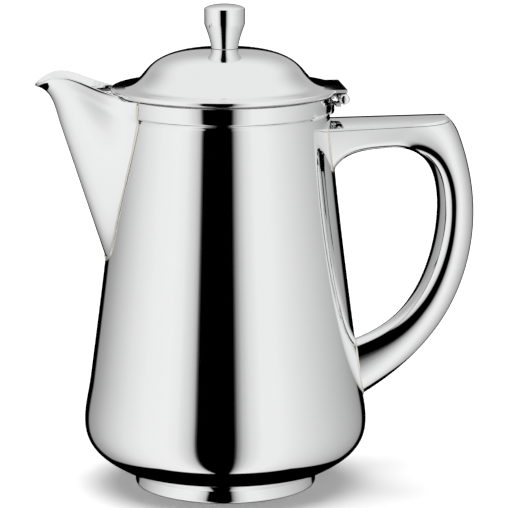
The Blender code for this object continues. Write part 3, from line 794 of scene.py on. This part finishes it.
def make_body_leaf():
    """A curved leaf soldered to the neck, with a knuckle at each end."""
    inner, outer = NECK_R + JOINT_GAP, NECK_R + GAP + SHEET
    half_angle = math.asin((TAB_HALF_WIDTH - 0.2) / inner)
    low, high = GROOVE_Z + 0.7, HINGE_Z - KNUCKLE_R - GAP
    outline = rounded([(inner, low), (outer, low), (outer, high), (inner, high)], 0.3)
    rings = []
    for k in range(LEAF_STEPS + 1):
        a = half_angle * (2 * k / LEAF_STEPS - 1)
        rings.append([(r * math.cos(a), r * math.sin(a), z) for r, z in outline])
    leaf = lofted("hinge_body_leaf_fine", rings, POLISHED)
    near, far = LID_KNUCKLE_HALF + GAP, TAB_HALF_WIDTH
    for side in (1, -1):
        low_y, high_y = sorted((side * (near + 0.2), side * (far - 0.4)))
        web = box("web", (NECK_R + 0.45, low_y, high - 0.5),
                  (HINGE_X - 1.2, high_y, HINGE_Z - KNUCKLE_HOLE_R - 0.25), POLISHED)
        carve(leaf, web, "UNION")
        low_y, high_y = sorted((side * near, side * far))
        carve(leaf, knuckle("part", low_y, high_y), "UNION")
    place(leaf, "hinge_body_leaf", "pot")


def make_hinge_pin():
    """A plain pin with a domed riveted head at each end."""
    half = TAB_HALF_WIDTH + 0.05
    head = bezier((0.3, half + 0.93), (1.3, half + 0.93), (2.0, half + 0.6), (2.0, half), 8)
    outline = head + [(PIN_R, half), (PIN_R, -half)] + [(r, -y) for r, y in head[::-1]]
    pin = lofted("hinge_pin_fine", rod_rings(outline, HINGE_X, HINGE_Z, 48), POLISHED)
    place(pin, "hinge_pin", "pot")


def make_lid_leaf():
    """The lid's half of the hinge: one knuckle and a short leaf under the tab."""
    half = LID_KNUCKLE_HALF
    leaf = knuckle("hinge_lid_leaf_fine", -half, half)
    plate = box("plate", (NECK_R - 2.4, -half + 0.1, NECK_TOP_Z + 0.4),
                (HINGE_X - 0.3, half - 0.1, HINGE_Z + KNUCKLE_R - 0.05), POLISHED)
    carve(leaf, plate, "UNION")
    place(leaf, "hinge_lid_leaf", "lid_assembly")


# ---------------------------------------------------------------- lid

def dome_outside():
    """The dome's outside from the middle hole down to the flange."""
    crest = bezier((LID_HOLE_R, DOME_TOP_Z), (16.0, DOME_TOP_Z), (25.5, 172.3), (30.9, 165.7), 32)
    foot = bezier((30.9, 165.7), (33.6, 162.4), (36.0, 159.5), (DOME_FOOT_R, 159.4), 20)
    return chain(crest, foot)


def make_lid():
    dome = dome_outside()
    under = inset(dome, -SHEET)[::-1]
    under[-1] = (LID_HOLE_R, DOME_TOP_Z - SHEET)
    low = FLANGE_TOP_Z - SHEET
    edge = bezier((FLANGE_R - 1.1, FLANGE_TOP_Z), (FLANGE_R - 0.3, FLANGE_TOP_Z),
                  (FLANGE_R, FLANGE_TOP_Z - 0.35), (FLANGE_R, FLANGE_TOP_Z - 1.1), 8)
    lip = bezier((FLANGE_R, FLANGE_TOP_Z - 1.1), (FLANGE_R, FLANGE_LIP_Z),
                 (FLANGE_R - 1.1, FLANGE_LIP_Z), (FLANGE_R - 1.1, low), 10)
    lid = turned("lid_fine", dome + chain(edge, lip) + under, POLISHED)
    top = FLANGE_TOP_Z
    relief = box("relief", (NECK_R - 2.0, -TAB_HALF_WIDTH - 0.3, FLANGE_LIP_Z - 1),
                 (FLANGE_R + 2, TAB_HALF_WIDTH + 0.3, top - TAB_THICKNESS), POLISHED)
    carve(lid, relief, "DIFFERENCE")
    tab = box("tab", (DOME_FOOT_R + 0.8, -TAB_HALF_WIDTH, top - TAB_THICKNESS),
              (TAB_END_X, TAB_HALF_WIDTH, top), POLISHED)
    carve(lid, tab, "UNION")
    place(lid, "lid", "lid_assembly")


def make_locating_ring():
    outer = NECK_R - 2 * (SHEET + GAP) - 0.5
    inner = outer - SHEET
    top = FLANGE_TOP_Z - SHEET - 0.02
    low = GROOVE_Z + 3.5
    outline = [(outer, top), (outer, low + 0.5), (outer - 0.3, low), (inner, low), (inner, top)]
    ring = turned("lid_locating_ring_fine", rounded(outline, 0.3, 3), SATIN)
    place(ring, "lid_locating_ring", "lid_assembly")


def make_knob():
    dome = bezier((0.0, KNOB_TOP_Z), (4.0, KNOB_TOP_Z), (6.6, 190.9), (7.8, 190.1), 16)
    seat = DOME_TOP_Z + 0.02
    taper = bezier((KNOB_R, 183.9), (7.3, 182.0), (5.9, 178.7), (KNOB_NECK_R, seat), 24)
    hole_r = SCREW_R + GAP
    bore = [(hole_r, seat), (hole_r, 183.2), (0, 183.6)]
    outline = dome + [(KNOB_R, 189.9)] + taper + bore
    knob = turned("knob_fine", rounded(outline, 0.22, 4, 20.0), POLISHED, SMALL_STEPS)
    place(knob, "knob", "lid_assembly")


def make_knob_screw():
    """A pan-head screw that comes up through the lid into the knob."""
    head_top = DOME_TOP_Z - SHEET - GAP - 0.8 - 0.02
    shank = [(0, 182.6), (SCREW_R - 0.4, 182.6), (SCREW_R, 182.1), (SCREW_R, head_top),
             (3.6, head_top)]
    head = bezier((3.6, head_top - 0.6), (3.6, head_top - 1.6), (2.6, head_top - 2.3),
                  (0.0, head_top - 2.3), 12)
    screw = turned("knob_screw_fine", rounded(shank + head, 0.15, 3), SATIN, 64)
    slot = box("slot", (-5, -0.4, head_top - 3), (5, 0.4, head_top - 1.3), SATIN)
    carve(screw, slot, "DIFFERENCE")
    place(screw, "knob_screw", "lid_assembly")


def make_knob_washer():
    top = DOME_TOP_Z - SHEET - GAP
    outline = [(5.2, top), (5.2, top - 0.8), (LID_HOLE_R, top - 0.8), (LID_HOLE_R, top)]
    washer = turned("knob_washer_fine", rounded(outline, 0.2, 3), SATIN, SMALL_STEPS)
    place(washer, "knob_washer", "lid_assembly")


# ---------------------------------------------------------------- studio

SIDE_LIGHT = (  # angle from the camera's side, round to the right, and brightness
    (-180, 0.0), (-150, 0.0), (-147, 0.30), (-130, 0.41), (-110, 0.61), (-90, 0.78),
    (-70, 0.88), (-50, 0.90), (-40, 0.86), (-30, 0.66), (-26, 0.48), (-23.5, 0.0),
    (8.0, 0.0), (9.5, 0.20), (14, 0.52), (20, 0.74), (30, 0.88), (45, 0.88), (60, 0.80),
    (80, 0.69), (100, 0.58), (120, 0.48), (140, 0.36), (147, 0.30), (150, 0.0), (180, 0.0),
)
TOP_LIGHT = 0.85
TOP_STARTS = (46, 18)  # heights where the overhead light begins, in front and behind
TOP_FULL = (58, 52)  # heights where it is full, in front and behind
TOP_TURN = (40, 60)  # angles between which front becomes behind
BACK_LIGHT = 0.50
BACK_HEIGHT = (8.2, 9.4)
BACK_ANGLE = (120, 150)

# The dark table below, by how far a direction points away from the camera's side
TABLE_EDGE = 0.84
TABLE_NEAR_EDGE = -0.20
TABLE_SIDE_EDGE = 0.9
TABLE_FALL = 0.8
TABLE_BLUR = 0.02
TABLE_TOP = 0.06


def side_light(nodes, angle):
    """The brightness round the pot, at the height of the eye and below."""
    sides = nodes.add("ShaderNodeValToRGB", {0: nodes.ramp(angle, -math.pi, math.pi, 0.0, 1.0)})
    colour_ramp = sides.node.color_ramp
    for number, (degrees, level) in enumerate(SIDE_LIGHT):
        place_at = (degrees + 180) / 360
        if number < 2:
            stop = colour_ramp.elements[number]
            stop.position = place_at
        else:
            stop = colour_ramp.elements.new(place_at)
        stop.color = (level, level, level, 1.0)
    return sides


def smooth_step(nodes, value, low, high):
    return nodes.add("ShaderNodeMapRange", {"Value": value, "From Min": low, "From Max": high},
                     interpolation_type="SMOOTHSTEP")


def mix_grey(nodes, share, colour, level):
    return nodes.add("ShaderNodeMix", {0: share, 6: colour, 7: (level, level, level, 1)}, 2,
                     data_type="RGBA")


def table_mask(nodes, across, depth, height):
    """One where a direction points down to the table, nought elsewhere."""
    below = nodes.math("MAXIMUM", nodes.math("MULTIPLY", height, -1 / TABLE_FALL), 0)
    edge = nodes.math("SUBTRACT", 1.0, nodes.math("POWER", below, 3.0))
    edge = nodes.math("MAXIMUM", nodes.math("MULTIPLY", edge, TABLE_EDGE), TABLE_NEAR_EDGE)
    aside = nodes.math("MULTIPLY", nodes.math("MULTIPLY", across, across), TABLE_SIDE_EDGE)
    beyond = nodes.math("SUBTRACT", depth, nodes.math("ADD", edge, aside))
    return nodes.math("MULTIPLY", nodes.ramp(beyond, -TABLE_BLUR, TABLE_BLUR, 0, 1),
                      nodes.ramp(height, 0.0, TABLE_TOP, 1, 0))


def make_world():
    """Two tall soft lights, one either side of a dark gap behind the camera, a dark room
    beyond them, a soft light overhead and a dark table below. A direction's angle is counted
    from the camera's side, round the pot's axis."""
    world = bpy.data.worlds.new("studio")
    world.use_nodes = True
    bpy.context.scene.world = world
    world.node_tree.nodes.clear()
    nodes = Shader(world.node_tree)
    direction = nodes.add("ShaderNodeTexCoord", output="Generated")
    turned_to_camera = nodes.add("ShaderNodeVectorRotate",
                                 {"Vector": direction, "Axis": (0, 0, 1),
                                  "Angle": math.radians(CAMERA_SIDE_ANGLE)},
                                 rotation_type="AXIS_ANGLE")
    split = nodes.add("ShaderNodeSeparateXYZ", {0: turned_to_camera}).node
    across, depth, height = split.outputs
    angle = nodes.math("ARCTAN2", across, nodes.math("MULTIPLY", depth, -1.0))
    aside = nodes.math("ABSOLUTE", angle)
    elevation = nodes.math("ARCSINE", height)

    above = smooth_step(nodes, elevation, *[math.radians(d) for d in BACK_HEIGHT])
    behind = nodes.ramp(aside, *[math.radians(d) for d in BACK_ANGLE], 0, 1)
    light = mix_grey(nodes, nodes.math("MULTIPLY", behind, above), side_light(nodes, angle),
                     BACK_LIGHT)
    backward = nodes.ramp(aside, *[math.radians(d) for d in TOP_TURN], 0, 1)
    starts = nodes.ramp(backward, 0, 1, *[math.radians(d) for d in TOP_STARTS])
    full = nodes.ramp(backward, 0, 1, *[math.radians(d) for d in TOP_FULL])
    light = mix_grey(nodes, smooth_step(nodes, elevation, starts, full), light, TOP_LIGHT)
    light = mix_grey(nodes, table_mask(nodes, across, depth, height), light, 0)
    room = nodes.add("ShaderNodeBackground", {"Color": light})
    plain = nodes.add("ShaderNodeBackground", {"Color": (1, 1, 1, 1)})
    seen = nodes.add("ShaderNodeLightPath", output="Is Camera Ray")
    mixed = nodes.add("ShaderNodeMixShader", {0: seen, 1: room, 2: plain})
    nodes.add("ShaderNodeOutputWorld", {"Surface": mixed}, None)


def make_floor():
    mat, nodes, surface = new_material("pale_floor")
    at = nodes.add("ShaderNodeTexCoord", output="Object")
    tone = nodes.ramp(nodes.noise(at, 3.0, 2.0), 0.3, 0.7, 0.93, 0.95)
    grey = nodes.add("ShaderNodeCombineColor", {0: tone, 1: tone, 2: tone})
    mat.node_tree.links.new(grey, surface.inputs["Base Color"])
    surface.inputs["Roughness"].default_value = 0.9
    half = 6.0
    mesh = bpy.data.meshes.new("floor")
    mesh.from_pydata([(-half, -half, 0), (half, -half, 0), (half, half, 0), (-half, half, 0)],
                     [], [(0, 1, 2, 3)])
    mesh.materials.append(mat)
    floor = bpy.data.objects.new("floor", mesh)
    bpy.context.scene.collection.objects.link(floor)
    floor.visible_glossy = False


def make_lights():
    """One wide soft light overhead for the floor. The metal mirrors the room, not the lamp."""
    lamp = bpy.data.lights.new("overhead", "AREA")
    lamp.shape = "DISK"
    lamp.size = 5.0
    lamp.energy = 170.0
    obj = bpy.data.objects.new("overhead", lamp)
    obj.location = (-0.3, 0.3, 4.0)
    obj.rotation_euler = (-obj.location).to_track_quat("-Z", "Y").to_euler()
    obj.visible_glossy = False
    obj.visible_camera = False
    bpy.context.scene.collection.objects.link(obj)


def make_camera():
    side = math.radians(CAMERA_SIDE_ANGLE)
    data = bpy.data.cameras.new("camera")
    data.sensor_width = 36.0
    data.lens = CAMERA_LENS
    data.clip_start = 0.01
    camera = bpy.data.objects.new("camera", data)
    camera.location = ((POT_X - CAMERA_DISTANCE * math.sin(side)) * MM,
                       -CAMERA_DISTANCE * math.cos(side) * MM, CAMERA_HEIGHT * MM)
    turn = side + math.radians(CAMERA_TURN)
    camera.rotation_euler = (math.radians(90 - CAMERA_PITCH), 0, -turn)
    bpy.context.scene.collection.objects.link(camera)
    bpy.context.scene.camera = camera


def build():
    make_camera()
    make_world()
    make_lights()
    make_floor()
    make_pot_body()
    make_foot_ring()
    make_base_plate()
    make_mouth_ring()
    rows = spout_rows()
    make_spout(rows)
    make_spout_seam(rows)
    make_handle()
    make_handle_seams()
    make_body_leaf()
    make_hinge_pin()
    make_lid_leaf()
    make_lid()
    make_locating_ring()
    make_knob()
    make_knob_screw()
    make_knob_washer()
    bpy.context.scene.view_settings.view_transform = "Standard"


build()
